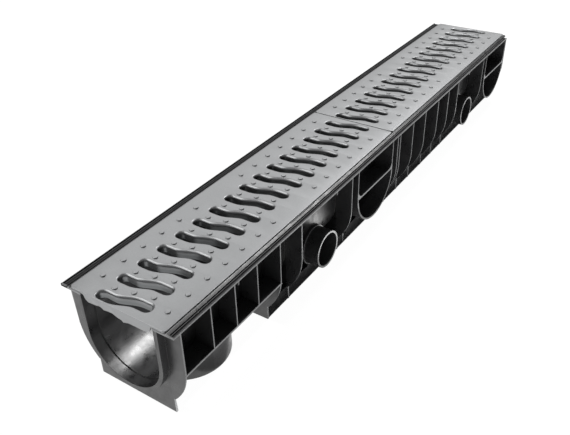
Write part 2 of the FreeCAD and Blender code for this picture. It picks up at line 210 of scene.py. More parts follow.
def studio_paper(name, tone, roughness, specular, glow):
    """Matt paper that also gives off white light of a set strength."""
    material = bpy.data.materials.new(name)
    material.use_nodes = True
    shader = material.node_tree.nodes["Principled BSDF"]
    shader.inputs["Base Color"].default_value = (*linear(tone), 1)
    shader.inputs["Roughness"].default_value = roughness
    shader.inputs["Specular IOR Level"].default_value = specular
    shader.inputs["Emission Color"].default_value = (1, 1, 1, 1)
    shader.inputs["Emission Strength"].default_value = glow
    return material


class DRAIN_OT_studio(bpy.types.Operator):
    """Camera, pale floor, soft lamps and the cards that shade or brighten the drain's sides"""

    bl_idname = "drain.studio"
    bl_label = "Studio"

    FLOOR_HEIGHT = -0.2 * MM
    FLOOR_GLOW = 0.98
    AIR_GLOW = 0.2

    # Name, azimuth from +Y towards +X, elevation, distance, width, height, brightness
    LAMPS = (
        ("key_lamp", 6, 60, 2.6, 0.45, 0.45, 20.0),
        ("kerb_softbox", -4, 45, 2.6, 0.6, 0.35, 9.0),
        ("lip_softbox", -142, 42, 2.4, 1.2, 2.0, 2.7),
        ("crest_softbox", -98, 62, 2.4, 1.6, 0.9, 0.9),
        ("back_left_panel", -38, 36, 3.0, 3.4, 2.4, 1.06),
    )

    # Lamp under the first slots; its place is given across, from the near end and over the floor
    SLOT_LIGHT_WIDTH = 34 * MM
    SLOT_LIGHT_LENGTH = 110 * MM
    SLOT_LIGHT_BRIGHTNESS = 16
    SLOT_LIGHT_PLACE = (2 * MM, 105 * MM, 117 * MM)

    # Cards on both sides: name, glow, both ends' distances from the near end, both sides' from the middle
    CARDS = (
        ("grey_card", 0.3, 20 * MM, 185 * MM, 55.8 * MM, 81.4 * MM),
        ("black_card", 0.0, 185 * MM, 1030 * MM, 55.8 * MM, 81.4 * MM),
        ("bright_card", 3.6, 330 * MM, 430 * MM, 100 * MM, 160 * MM),
        ("bright_far_card", 2.4, 850 * MM, 960 * MM, 100 * MM, 160 * MM),
    )
    CARD_HEIGHT = -0.1 * MM

    def execute(self, context):
        scene = context.scene
        studio = scene.drain_studio
        scene.view_settings.view_transform = "Standard"
        camera = bpy.data.objects.new("camera", bpy.data.cameras.new("camera"))
        scene.collection.objects.link(camera)
        camera.data.lens = studio.lens
        camera.matrix_world = Matrix.Translation(CAMERA_PLACE) @ camera_turn()
        scene.camera = camera
        self.floor(studio)
        self.cards()
        for lamp in self.LAMPS:
            self.softbox(studio, *lamp)
        world = bpy.data.worlds.new("studio_air")
        world.use_nodes = True
        air = world.node_tree.nodes["Background"]
        air.inputs["Color"].default_value = (1, 1, 1, 1)
        air.inputs["Strength"].default_value = self.AIR_GLOW
        scene.world = world
        self.slot_light(studio)
        return {"FINISHED"}

    def floor(self, studio):
        half = studio.floor_half
        corners = ((-half, -half), (half, -half), (half, half), (-half, half))
        mesh = bpy.data.meshes.new("floor")
        mesh.from_pydata([(x, y, self.FLOOR_HEIGHT) for x, y in corners], [], [(0, 1, 2, 3)])
        mesh.materials.append(studio_paper(
            "pale_floor_paper", tone="#404040", roughness=0.9, specular=0.5, glow=self.FLOOR_GLOW
        ))
        floor = new_object("floor", mesh)

    def cards(self):
        """Cards that the camera doesn't see: dark ones keep the floor's light off the keel and part
        of it off the outlet, and bright ones light the walls over the stubs."""
        for name, glow, start, end, inner, outer in self.CARDS:
            material = studio_paper(name, tone="#000000", roughness=1.0, specular=0.0, glow=glow)
            corners = ((inner, start), (outer, start), (outer, end), (inner, end))
            for end_name, side in (("right", 1), ("left", -1)):
                mesh = bpy.data.meshes.new(name)
                places = [(side * x, CAD_LOW.y + y, self.CARD_HEIGHT) for x, y in corners]
                mesh.from_pydata(places, [], [(0, 1, 2, 3) if side > 0 else (3, 2, 1, 0)])
                mesh.materials.append(material)
                card = new_object(name + "_" + end_name, mesh)
                card.visible_camera = False
                card.visible_shadow = False

    def lamp(self, studio, name, width, height, brightness):
        """Rectangular lamp whose face has that brightness, whatever its size."""
        data = bpy.data.lights.new(name, "AREA")
        data.shape = "RECTANGLE"
        data.size = width
        data.size_y = height
        data.energy = brightness * studio.brightness * math.pi * width * height
        return new_object(name, data)

    def softbox(self, studio, name, azimuth, elevation, distance, width, height, brightness):
        """Lamp that faces the drain from that direction."""
        lamp = self.lamp(studio, name, width, height, brightness)
        turn, lift = math.radians(azimuth), math.radians(elevation)
        away = Vector((
            math.sin(turn) * math.cos(lift), math.cos(turn) * math.cos(lift), math.sin(lift)
        ))
        lamp.rotation_euler = away.to_track_quat("Z", "Y").to_euler()
        lamp.location = away * distance

    def slot_light(self, studio):
        """Light that falls through the slots on the trough's bottom, gathered in one small lamp."""
        lamp = self.lamp(
            studio, "slot_light", self.SLOT_LIGHT_WIDTH, self.SLOT_LIGHT_LENGTH, self.SLOT_LIGHT_BRIGHTNESS
        )
        x, from_end, z = self.SLOT_LIGHT_PLACE
        lamp.location = (x, CAD_LOW.y + from_end, z)
        lamp.visible_camera = False


# Places where the moulding's colour or roughness differs; most of them hold painted highlights or painted
# light.
# In each, all conditions hold: what is measured, how it is compared, and the limit, or the middle and half
# width of a band, in millimetres.
RIB_EDGE = (("reach", "COMPARE", 77.7, 0.4), ("z", "GREATER_THAN", 21.2))
STUB_COLLAR = (("off_stub", "COMPARE", 27.3, 0.55), ("across", "GREATER_THAN", 56.0))
LEFT_LIP_FACE = (("x", "LESS_THAN", -78.5),)
RIM_NEAR_END = (("y", "LESS_THAN", -498.6), ("z", "GREATER_THAN", 124.2))
RIGHT_KERB = (("x", "COMPARE", 68.9, 1.9), ("z", "GREATER_THAN", 127.5))
LEFT_RIM = (("x", "LESS_THAN", -70.0), ("z", "GREATER_THAN", 124.0))
GROOVE_FLOORS = (("z", "COMPARE", 124.9, 0.8), ("across", "COMPARE", 73.6, 3.2))
# Painted highlight on the ribs' feet
RIB_FEET = (("across", "GREATER_THAN", 55.5), ("z", "LESS_THAN", 20.9))
# Painted light on the moulding's outer side
OUTER_SIDE = (("across", "GREATER_THAN", 53.5),)
# The ribs' edge is left out inside the stubs and branches, apart from their mouths.
CLEAR_RIB_EDGE = RIB_EDGE + (("off_stub", "GREATER_THAN", 28.2), ("off_branch", "GREATER_THAN", 54.3))
MOUTH_EDGE = RIB_EDGE + (("across", "GREATER_THAN", 77.3),)
# Painted highlights where light catches the moulding: edges, collars, left-hand lip face, rim's near end and
# right-hand kerb
HIGHLIGHT_PLACES = (CLEAR_RIB_EDGE, MOUTH_EDGE, STUB_COLLAR, LEFT_LIP_FACE, RIM_NEAR_END, RIGHT_KERB)

# Sizes of the patterns in the finishes
WEAR_LENGTH = 12 * MM
GRAIN_WIDTH = 0.9 * MM
GRAIN_DEPTH = 0.1 * MM
MOULDED_EDGE_ROUND = 0.45 * MM
CLOUD_WIDTH = 35 * MM
SPECKLE_WIDTH = 1.6 * MM
SPECKLE_DEPTH = 0.08 * MM


def in_places(tree, measures, places):
    """1 at points in any of the places, 0 elsewhere."""
    found = 0.0
    for conditions in places:
        inside = 1.0
        for measure, operation, *limits in conditions:
            inputs = {0: measures[measure]}
            inputs.update({index + 1: limit * MM for index, limit in enumerate(limits)})
            holds = add(tree, "ShaderNodeMath", inputs, operation=operation).outputs[0]
            inside = add(tree, "ShaderNodeMath", {0: inside, 1: holds}, operation="MULTIPLY").outputs[0]
        found = add(tree, "ShaderNodeMath", {0: found, 1: inside}, operation="MAXIMUM").outputs[0]
    return found


def moulding_measures(tree, place):
    """Coordinates of a point on the moulding and its distances from what the finish follows."""
    axes = add(tree, "ShaderNodeSeparateXYZ", {"Vector": place}).outputs
    across = add(tree, "ShaderNodeMath", {0: axes["X"]}, operation="ABSOLUTE").outputs[0]
    # Reach is the distance from the trough's axis below it, and from the middle plane above it.
    below = add(tree, "ShaderNodeMath", {0: axes["Z"], 1: AXIS_HEIGHT}, operation="SUBTRACT").outputs[0]
    below = add(tree, "ShaderNodeMath", {0: below, 1: 0.0}, operation="MINIMUM").outputs[0]
    out = add(tree, "ShaderNodeCombineXYZ", {"X": across, "Z": below}).outputs[0]
    reach = add(tree, "ShaderNodeVectorMath", {0: out}, operation="LENGTH").outputs["Value"]
    # The stubs and branches come once in each half, at the same distance from its end.
    along = []
    for setback in (STUB_SETBACK, BRANCH_SETBACK):
        moved = add(tree, "ShaderNodeMath", {0: axes["Y"], 1: setback}, operation="ADD").outputs[0]
        inputs = {0: moved, 1: PLATE_LENGTH / 2}
        along.append(add(tree, "ShaderNodeMath", inputs, operation="PINGPONG").outputs[0])
    rise = add(tree, "ShaderNodeMath", {0: axes["Z"], 1: STUB_HEIGHT}, operation="SUBTRACT").outputs[0]
    out = add(tree, "ShaderNodeCombineXYZ", {"X": along[0], "Z": rise}).outputs[0]
    off_stub = add(tree, "ShaderNodeVectorMath", {0: out}, operation="LENGTH").outputs["Value"]
    return {
        "x": axes["X"], "y": axes["Y"], "z": axes["Z"], "across": across, "reach": reach,
        "off_stub": off_stub, "off_branch": along[1],
    }


def plastic_material(finishes):
    """Moulded black polypropylene: low sheen over a very fine spark-eroded grain, with painted highlights
    on the outermost edges and the ribs' feet, and a lighter painted tone, standing for light, on the outer
    side."""
    material = bpy.data.materials.new("moulded_black_polypropylene")
    material.use_nodes = True
    tree = material.node_tree
    shader = tree.nodes["Principled BSDF"]
    place = add(tree, "ShaderNodeTexCoord").outputs["Object"]
    measures = moulding_measures(tree, place)
    # Blotchy noise breaks the painted highlights on the edges up.
    wear = add(tree, "ShaderNodeTexNoise", {"Vector": place, "Scale": 1 / WEAR_LENGTH, "Detail": 5.0})
    highlight_breakup = add(
        tree, "ShaderNodeMapRange",
        {"Value": wear.outputs["Fac"], "From Min": 0.3, "From Max": 0.7, "To Min": 0.55, "To Max": 1.0},
    ).outputs[0]
    edges = in_places(tree, measures, HIGHLIGHT_PLACES)
    edge_highlight = add(tree, "ShaderNodeMath", {0: edges, 1: highlight_breakup}, operation="MULTIPLY").outputs[0]
    tone = (*finishes.plastic, 1)
    # Painted light on the outer side, then painted highlights on the edges and on the ribs' feet
    for share, over in (
        (in_places(tree, measures, (OUTER_SIDE,)), finishes.plastic_outer_light),
        (edge_highlight, finishes.plastic_edge_highlight),
        (in_places(tree, measures, (RIB_FEET,)), finishes.plastic_foot_highlight),
    ):
        tone = add(
            tree, "ShaderNodeMix",
            {MIX_FACTOR: share, MIX_A: tone, MIX_B: (*over, 1)}, data_type="RGBA",
        ).outputs[MIX_RESULT]
    # The grain is about 0.4 mm in the tool and is drawn at 0.9 mm, the finest that shows.
    grain = add(tree, "ShaderNodeTexNoise", {"Vector": place, "Scale": 1 / GRAIN_WIDTH, "Detail": 2.0})
    rounded = add(tree, "ShaderNodeBevel", {"Radius": MOULDED_EDGE_ROUND}, samples=4)
    bump = add(
        tree, "ShaderNodeBump",
        {"Height": grain.outputs["Fac"], "Strength": 0.12, "Distance": GRAIN_DEPTH,
         "Normal": rounded.outputs["Normal"]},
    )
    roughness = add(
        tree, "ShaderNodeMapRange",
        {"Value": wear.outputs["Fac"], "From Min": 0.3, "From Max": 0.7, "To Min": 0.24, "To Max": 0.44},
    ).outputs[0]
    # The left-hand rim and the floors of the rims' grooves are dulled by rubbing.
    dull_or_shade = in_places(tree, measures, (LEFT_RIM, GROOVE_FLOORS))
    roughness = add(tree, "ShaderNodeMath", {0: roughness, 1: dull_or_shade}, operation="MAXIMUM").outputs[0]
    shader.inputs["Specular IOR Level"].default_value = 0.9
    tree.links.new(tone, shader.inputs["Base Color"])
    tree.links.new(roughness, shader.inputs["Roughness"])
    tree.links.new(bump.outputs["Normal"], shader.inputs["Normal"])
    return material


# Heights over which painted shade darkens a slot's wall deep in the slot, and the part at a grating's ends
# that stays bright without it
WALL_SHADE_HEIGHTS = (122 * MM, 127 * MM)
BRIGHT_END = 3.4 * MM


def steel_material(finishes):
    """Hot-dip galvanised pressed steel: matt light grey zinc with soft clouds a few centimetres
    wide and a fine speckle, no visible spangle, and painted shade deep on the slots' walls."""
    material = bpy.data.materials.new("galvanised_pressed_steel")
    material.use_nodes = True
    tree = material.node_tree
    shader = tree.nodes["Principled BSDF"]
    place = add(tree, "ShaderNodeTexCoord").outputs["Object"]
    clouds = add(tree, "ShaderNodeTexNoise", {"Vector": place, "Scale": 1 / CLOUD_WIDTH, "Detail": 3.0})
    speckle = add(tree, "ShaderNodeTexNoise", {"Vector": place, "Scale": 1 / SPECKLE_WIDTH, "Detail": 4.0})
    mixed = add(
        tree, "ShaderNodeMath",
        {0: clouds.outputs["Fac"], 1: speckle.outputs["Fac"]}, operation="MULTIPLY",
    ).outputs[0]
    share = add(
        tree, "ShaderNodeMapRange",
        {"Value": mixed, "From Min": 0.12, "From Max": 0.38, "To Min": 1.0, "To Max": 0.0},
    ).outputs[0]
    tone = add(
        tree, "ShaderNodeMix",
        {MIX_FACTOR: share, MIX_A: (*finishes.steel, 1), MIX_B: (*finishes.steel_dark, 1)},
        data_type="RGBA",
    ).outputs[MIX_RESULT]
    # Painted shade darkens the slots' walls below the sheet's face, where they lie deep in the slots; the
    # end flanges get none.
    axes = add(tree, "ShaderNodeSeparateXYZ", {"Vector": place})
    low, high = WALL_SHADE_HEIGHTS
    depth = add(
        tree, "ShaderNodeMapRange",
        {"Value": axes.outputs["Z"], "From Min": low, "From Max": high, "To Min": 1.0, "To Max": 0.0},
    ).outputs[0]
    from_end = add(
        tree, "ShaderNodeMath", {0: axes.outputs["Y"], 1: PLATE_LENGTH / 2}, operation="PINGPONG"
    ).outputs[0]
    inside = add(tree, "ShaderNodeMath", {0: from_end, 1: BRIGHT_END}, operation="GREATER_THAN").outputs[0]
    dull_or_shade = add(tree, "ShaderNodeMath", {0: depth, 1: inside}, operation="MULTIPLY").outputs[0]
    tone = add(
        tree, "ShaderNodeMix",
        {MIX_FACTOR: dull_or_shade, MIX_A: tone, MIX_B: (*finishes.steel_wall_shade, 1)}, data_type="RGBA",
    ).outputs[MIX_RESULT]
    roughness = add(
        tree, "ShaderNodeMapRange",
        {"Value": clouds.outputs["Fac"], "From Min": 0.3, "From Max": 0.7, "To Min": 0.36, "To Max": 0.4},
    ).outputs[0]
    bump = add(
        tree, "ShaderNodeBump",
        {"Height": speckle.outputs["Fac"], "Strength": 0.15, "Distance": SPECKLE_DEPTH},
    )
    shader.inputs["Metallic"].default_value = 1.0
    tree.links.new(tone, shader.inputs["Base Color"])
    tree.links.new(roughness, shader.inputs["Roughness"])
    tree.links.new(bump.outputs["Normal"], shader.inputs["Normal"])
    return material


# Distance at which the solid's loose triangles are joined, how near a vertex lies to the flat or
# the curve that it belongs to, and the largest angle that is shaded smooth, in degrees
WELD = 0.002 * MM
TOLERANCE = 0.05 * MM
CURVE_TOLERANCE = 0.3 * MM
BODY_SHARP_ANGLE = 30

# Right-hand lip: its height at the rim's edge and its fall per length towards the groove
RIM_HALF = 78 * MM
LIP_HEIGHT = 126.9 * MM
LIP_SLOPE = 0.577

# Lugs under the right-hand rim: middles from the near end, sides, half length, and drop and bite at
# the rim's underside
LUG_PLACES = (105 * MM, 318 * MM, 788 * MM)
LUG_SIDES = (74 * MM, 77.2 * MM)
LUG_HALF_LENGTH = 1.3 * MM
LUG_DROP = 4.5 * MM
LUG_BITE = 0.2 * MM

# Wall that closes the left-hand rim's groove at the near end; its outer side moves out with the lip
END_WALL_SIDES = (-77.6 * MM, -70.9 * MM)
END_WALL_THICKNESS = 1.3 * MM
END_WALL_LIFT = 0.1 * MM
END_WALL_TOP = 127.9 * MM

# The stubs' collars are wider only outside the trough.
COLLAR_START = 30 * MM

BOX_FACES = ((0, 2, 3, 1), (4, 5, 7, 6), (0, 1, 5, 4), (2, 6, 7, 3), (0, 4, 6, 2), (1, 3, 7, 5))


def add_box(mesh, x_sides, y_sides, z_sides):
    """Box between pairs of sides, the lower one first."""
    corners = [mesh.verts.new((x, y, z)) for z in z_sides for y in y_sides for x in x_sides]
    for face in BOX_FACES:
        mesh.faces.new([corners[index] for index in face])


class DRAIN_OT_body(bpy.types.Operator):
    """Moulded channel: its black finish, its ribs' taper and the fine trim of rim, stubs and keel"""

    bl_idname = "drain.body"
    bl_label = "Channel body"

    def execute(self, context):
        sizes = context.scene.drain_body
        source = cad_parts["channel_body"].data
        mesh = bmesh.new()
        mesh.from_mesh(source)
        bmesh.ops.remove_doubles(mesh, verts=mesh.verts, dist=WELD)
        self.deepen_groove(mesh, sizes)
        far_faces = self.taper_ribs(mesh, sizes)
        self.add_feet(mesh, sizes, far_faces)
        self.add_lugs(mesh, sizes)
        self.add_end_wall(mesh, sizes)
        self.widen_left_lip(mesh, sizes)
        self.thin_right_rim(mesh, sizes)
        self.widen_collars(mesh, sizes)
        plain = bpy.data.meshes.new("moulded_channel")
        mesh.verts.index_update()
        plain.from_pydata(
            [vertex.co[:] for vertex in mesh.verts], [],
            [[vertex.index for vertex in face.verts] for face in mesh.faces],
        )
        mesh.free()
        plain.shade_smooth()
        plain.set_sharp_from_angle(angle=math.radians(BODY_SHARP_ANGLE))
        plain.materials.append(plastic_material(context.scene.drain_finishes))
        body = new_object("moulded_channel", plain)
        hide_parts("channel_body")
        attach(body, "root")
        return {"FINISHED"}

    def deepen_groove(self, mesh, sizes):
        """Sinks the floor of the groove in each side's rim, so that it reads as a dark line."""
        for vertex in mesh.verts:
            place = vertex.co
            on_floor = abs(place.z - sizes.groove_floor) < TOLERANCE
            if on_floor and sizes.groove_inner < abs(place.x) < sizes.groove_outer:
                place.z -= sizes.groove_sink

    def taper_ribs(self, mesh, sizes):
        """Thins each rib towards its outer edge, as a moulded rib's draft does, and returns the
        places of the ribs' far faces along the channel, in millimetres."""
        edge = [vertex for vertex in mesh.verts if self.on_rib_edge(vertex.co, sizes)]
        faces = {round(vertex.co.y / MM, 2) for vertex in edge}
        far_faces = {y for y in faces if round(y - sizes.rib / MM, 2) in faces}
        for vertex in edge:
            if round(vertex.co.y / MM, 2) in far_faces:
                vertex.co.y -= sizes.rib_taper
        return far_faces

    def on_rib_edge(self, place, sizes):
        """Whether a point is on the ribs' outer edge: upright above the trough's axis, round below."""
        if place.z > sizes.axis_height:
            return abs(abs(place.x) - sizes.rib_half) < TOLERANCE
        radius = math.hypot(place.x, place.z - sizes.axis_height)
        return abs(radius - sizes.rib_half) < CURVE_TOLERANCE

    def add_feet(self, mesh, sizes, far_faces):
        """Carries each rib down the keel's side as a low thin bar."""
        inner, outer = sizes.rail_half - sizes.foot_rise, sizes.rail_half + sizes.foot_rise
        for far in sorted(far_faces):
            near_y = far * MM - sizes.rib
            far_y = far * MM - sizes.rib_taper
            if sizes.feet_start < near_y - CAD_LOW.y < sizes.feet_end:
                for x_sides in ((-outer, -inner), (inner, outer)):
                    add_box(mesh, x_sides, (near_y, far_y), (0.0, sizes.keel_height))

    def add_lugs(self, mesh, sizes):
        """Small lugs that hang from the right-hand rim beside a rib."""
        heights = (sizes.rim_under - LUG_DROP, sizes.rim_under + LUG_BITE)
        for distance in LUG_PLACES:
            middle = CAD_LOW.y + distance
            add_box(mesh, LUG_SIDES, (middle - LUG_HALF_LENGTH, middle + LUG_HALF_LENGTH), heights)

    def add_end_wall(self, mesh, sizes):
        """Thin wall across the near end of the left-hand rim's groove."""
        lengths = (CAD_LOW.y, CAD_LOW.y + END_WALL_THICKNESS)
        add_box(mesh, END_WALL_SIDES, lengths, (sizes.rim_under + END_WALL_LIFT, END_WALL_TOP))

    def widen_left_lip(self, mesh, sizes):
        """Sets the outer face of the left-hand rim's lip out."""
        for vertex in mesh.verts:
            place = vertex.co
            if place.z > sizes.rim_under - TOLERANCE and place.x < -sizes.groove_outer:
                place.x -= sizes.lip_spread

    def thin_right_rim(self, mesh, sizes):
        """Lifts the lower edge of the right-hand rim's outer face and slopes the lip over it."""
        for vertex in mesh.verts:
            place = vertex.co
            on_edge = abs(place.x - RIM_HALF) < TOLERANCE and abs(place.z - sizes.rim_under) < TOLERANCE
            if on_edge:
                place.z += sizes.rim_lift
            elif place.x > sizes.groove_outer and place.z > sizes.groove_floor - TOLERANCE:
                place.z = LIP_HEIGHT - LIP_SLOPE * (RIM_HALF - place.x)

    def widen_collars(self, mesh, sizes):
        """Sets out the collars at the right-hand stubs' roots, whose front faces show as light rings."""
        middles = [CAD_HIGH.y - sizes.stub_setback, -sizes.stub_setback]
        for vertex in mesh.verts:
            place = vertex.co
            for middle in middles:
                along, rise = place.y - middle, place.z - sizes.stub_height
                radius = math.hypot(along, rise)
                if place.x > COLLAR_START and abs(radius - sizes.collar_radius) < TOLERANCE:
                    factor = 1 + sizes.collar_rise / radius
                    place.y, place.z = middle + along * factor, sizes.stub_height + rise * factor


# Steps in the curves of the gratings
SLOT_SIDE_STEPS = 14
SLOT_END_STEPS = 10
LIP_STEPS = 6
UNDER_LIP_STEPS = 2
CORNER_STEPS = 5
EDGE_STEPS = 4
PIP_SIDES = 14
FLANGE_ROWS = 8

# Rise of a slot's wall towards its ends, height of the pips and depth of the edge in the solids,
# distance at which parts are joined, and the largest angle that is shaded smooth, in degrees
WALL_RISE = 1.8 * MM
SOLID_PIP_HEIGHT = 0.7 * MM
SHEET_EDGE_DEPTH = 2.3 * MM
JOIN_DISTANCE = 0.01 * MM
GRATING_SHARP_ANGLE = 35

# A pip's side from its foot, under the sheet's top, to its crown: shares of its radius and its height
PIP_PROFILE = ((1.0, -0.3), (1.0, 0.0), (0.96, 0.72), (0.88, 0.94), (0.72, 1.0))

# Rows of pips: place across, shift along the channel from the middle of a gap, both in millimetres,
# and the middle of the pair of gaps that have none
PIP_ROWS = (
    (-49.5, 3.75, 6.5), (-23, -5, None), (0, 0, None), (23, 5, None), (49.5, -3.75, 7.5),
)


def slot_loop(sizes, near, far):
    """Points round a slot, counter-clockwise about its middle, at those distances from the middle
    line on its near and its far side."""
    straight = sizes.slot_half_span - (sizes.near_half + sizes.far_half) / 2
    line = [(-straight, -sizes.slot_swing, 0.0)]
    for step in range(SLOT_SIDE_STEPS + 1):
        turn = step / SLOT_SIDE_STEPS - 0.5
        rise = sizes.slot_swing * math.pi * math.cos(math.pi * turn) / (2 * sizes.wave_half)
        line.append((2 * sizes.wave_half * turn, sizes.slot_swing * math.sin(math.pi * turn), rise))
    line.append((straight, sizes.slot_swing, 0.0))

    def side(offset):
        points = []
        for x, y, rise in line:
            size = math.hypot(1, rise)
            points.append((x - offset * rise / size, y + offset / size))
        return points

    def end(sign):
        points = []
        for step in range(1, SLOT_END_STEPS):
            turn = sign * math.pi * (step / SLOT_END_STEPS - 0.5)
            reach = far if math.sin(turn) > 0 else near
            points.append((
                sign * (straight + (near + far) / 2 * math.cos(turn)),
                sign * sizes.slot_swing + reach * math.sin(turn),
            ))
        return points

    return side(-near) + end(1) + side(far)[::-1] + end(-1)


def wall_foot(sizes, top, x):
    """Height of the lower edge of a slot's wall, drawn deeper in the middle than at the ends."""
    share = min(abs(x) / sizes.slot_half_span, 1)
    return top - sizes.wall_depth + WALL_RISE * share ** 2


def slot_rings(sizes, top):
    """Rings of a slot's turned-down lip and wall, from the sheet's top face to its under face."""
    near, far = sizes.near_half, sizes.far_half

    def lip_ring(turn, shrink):
        """Ring on the lip at that turn from level; its height differs on the two sides."""
        near_lip, far_lip = sizes.near_lip - shrink, sizes.far_lip - shrink
        flat_near, flat_far = near + sizes.near_lip, far + sizes.far_lip
        loop = slot_loop(sizes, flat_near - near_lip * math.sin(turn), flat_far - far_lip * math.sin(turn))
        return [
            (x, y, top - (sizes.near_lip + (sizes.far_lip - sizes.near_lip) * part)
             + (near_lip + (far_lip - near_lip) * part) * math.cos(turn))
            for (x, y), part in zip(loop, lip_shares())
        ]

    rings = [lip_ring(math.pi / 2 * step / LIP_STEPS, 0.0) for step in range(LIP_STEPS + 1)]
    inner = slot_loop(sizes, near, far)
    outer = slot_loop(sizes, near + sizes.sheet, far + sizes.sheet)
    feet = [wall_foot(sizes, top, x) for x, _ in inner]
    rings.append([(x, y, (z + top - sizes.far_lip) / 2) for (x, y), z in zip(inner, feet)])
    rings.append([(x, y, z) for (x, y), z in zip(inner, feet)])
    rings.append([(x, y, z) for (x, y), z in zip(outer, feet)])
    for step in range(UNDER_LIP_STEPS + 1):
        rings.append(lip_ring(math.pi / 2 * (1 - step / UNDER_LIP_STEPS), sizes.sheet))
    return rings


def lip_shares():
    """For each point of a slot's loop, 0 on the near side, 1 on the far side, blended at the ends."""
    count = SLOT_SIDE_STEPS + 3
    ends = SLOT_END_STEPS - 1
    rise = [0.5 - 0.5 * math.cos(math.pi * (step + 1) / SLOT_END_STEPS) for step in range(ends)]
    return [0.0] * count + rise + [1.0] * count + rise[::-1]


def plate_outline(half_x, low_y, high_y, radius_low, radius_high, stops=()):
    """Counter-clockwise outline with rounded corners where a radius is given, and points at the stops."""
    points = []
    corners = (
        (half_x, low_y, radius_low, -90), (half_x, high_y, radius_high, 0),
        (-half_x, high_y, radius_high, 90), (-half_x, low_y, radius_low, 180),
    )
    for index, (x, y, radius, start) in enumerate(corners):
        if radius:
            centre = (x - math.copysign(radius, x), y + (radius if index in (0, 3) else -radius))
            for step in range(CORNER_STEPS + 1):
                turn = math.radians(start + 90 * step / CORNER_STEPS)
                points.append((centre[0] + radius * math.cos(turn), centre[1] + radius * math.sin(turn)))
        else:
            points.append((x, y))
        if index == 0:
            points += [(half_x, stop) for stop in stops]
        if index == 2:
            points += [(-half_x, stop) for stop in reversed(stops)]
    return points


def add_loft(mesh, rings):
    """Quads between rings of points; returns the first and the last ring's vertices."""
    rows = [[mesh.verts.new(point) for point in ring] for ring in rings]
    for lower, upper in zip(rows, rows[1:]):
        for index in range(len(lower)):
            after = (index + 1) % len(lower)
            mesh.faces.new((lower[index], lower[after], upper[after], upper[index]))
    return rows[0], rows[-1]


def add_flat(mesh, outline, ring):
    """Flat face between an outline and a ring of vertices, cut into triangles."""
    edge = [mesh.verts.new(point) for point in outline]
    edges = []
    for loop in (edge, ring):
        for first, second in zip(loop, loop[1:] + loop[:1]):
            found = mesh.edges.get((first, second))
            edges.append(found or mesh.edges.new((first, second)))
    bmesh.ops.triangle_fill(mesh, use_beauty=True, use_dissolve=False, edges=edges)


def add_cell(mesh, sizes, top, half_x, middle_y, low_y, high_y, low_end=False, high_end=False):
    """Part of the sheet round one slot, from low_y to high_y, its top and under faces and its lip."""
    rings = [[(x, y + middle_y, z) for x, y, z in ring] for ring in slot_rings(sizes, top)]
    first, last = add_loft(mesh, rings)
    for z, inset, ring in (
        (top, sizes.edge_round, first), (top - sizes.sheet, sizes.sheet, last)
    ):
        radius = sizes.corner_radius - inset
        outline = plate_outline(
            half_x - inset, low_y + (inset if low_end else 0), high_y - (inset if high_end else 0),
            radius if low_end else 0, radius if high_end else 0,
        )
        add_flat(mesh, [(x, y, z) for x, y in outline], ring)


def finished_mesh(mesh, name):
    bmesh.ops.remove_doubles(mesh, verts=mesh.verts, dist=JOIN_DISTANCE)
    bmesh.ops.recalc_face_normals(mesh, faces=mesh.faces)
    data = bpy.data.meshes.new(name)
    mesh.to_mesh(data)
    mesh.free()
    return data


# Lower edge of an end flange: place across and depth under the sheet's top face, in millimetres
FLANGE_EDGE = (
    (-46.5, 3.0), (-45.6, 4.4), (-44.0, 8.6), (-40.7, 10.9), (-36.0, 10.6), (-32.3, 10.1), (-27.0, 8.9),
    (-23.6, 7.9), (-21.0, 9.2), (-18.0, 11.1), (-11.0, 10.4), (-4.9, 9.5), (-1.5, 10.6), (0.9, 11.9),
    (4.0, 12.4), (6.9, 12.8), (8.0, 14.2), (9.4, 14.9), (12.0, 13.9), (16.2, 12.8), (24.0, 12.6),
    (32.0, 12.3), (40.5, 12.0), (44.5, 10.0), (46.5, 7.0), (48.0, 3.5),
)
# Shallow dents that the press left in a flange: place across, depth under the top, reach and depth, in
# millimetres; a negative depth is a bulge
FLANGE_DENTS = ((-38, 6, 5, 0.9), (-27, 5, 3.5, -0.8), (-12, 7, 6, 0.9), (-3, 6, 3.5, -0.9), (20, 8, 9, 0.5))
# How far a flange stands out of the sheet's edge, so that their faces don't coincide
FLANGE_PROUD = 0.04 * MM


def flange_mesh(mesh, sizes, top, end_y, outward):
    """Turned-down end flange: its wavy lower edge was sheared and its face dented in the press."""
    grids = []
    for inset in (-FLANGE_PROUD, sizes.sheet):
        grid = []
        for x, depth in FLANGE_EDGE:
            line = []
            for row in range(FLANGE_ROWS + 1):
                start = sizes.edge_round / MM
                drop = start + (depth - start) * row / FLANGE_ROWS
                dent = sum(
                    size * math.exp(-((x - at_x) ** 2 + (drop - at_z) ** 2) / reach ** 2)
                    for at_x, at_z, reach, size in FLANGE_DENTS
                ) * MM * min(1, 2 * row / FLANGE_ROWS)
                line.append(mesh.verts.new((x * MM, end_y - outward * (inset + dent), top - drop * MM)))
            grid.append(line)
        grids.append(grid)
    front, back = grids
    last = len(FLANGE_EDGE) - 1
    for grid in grids:
        for left, right in zip(grid, grid[1:]):
            for row in range(FLANGE_ROWS):
                mesh.faces.new((left[row], right[row], right[row + 1], left[row + 1]))
    for column in range(last):
        for row in (0, FLANGE_ROWS):
            mesh.faces.new((
                front[column][row], front[column + 1][row], back[column + 1][row], back[column][row]
            ))
    for column in (0, last):
        for row in range(FLANGE_ROWS):
            mesh.faces.new((
                front[column][row], front[column][row + 1], back[column][row + 1], back[column][row]
            ))


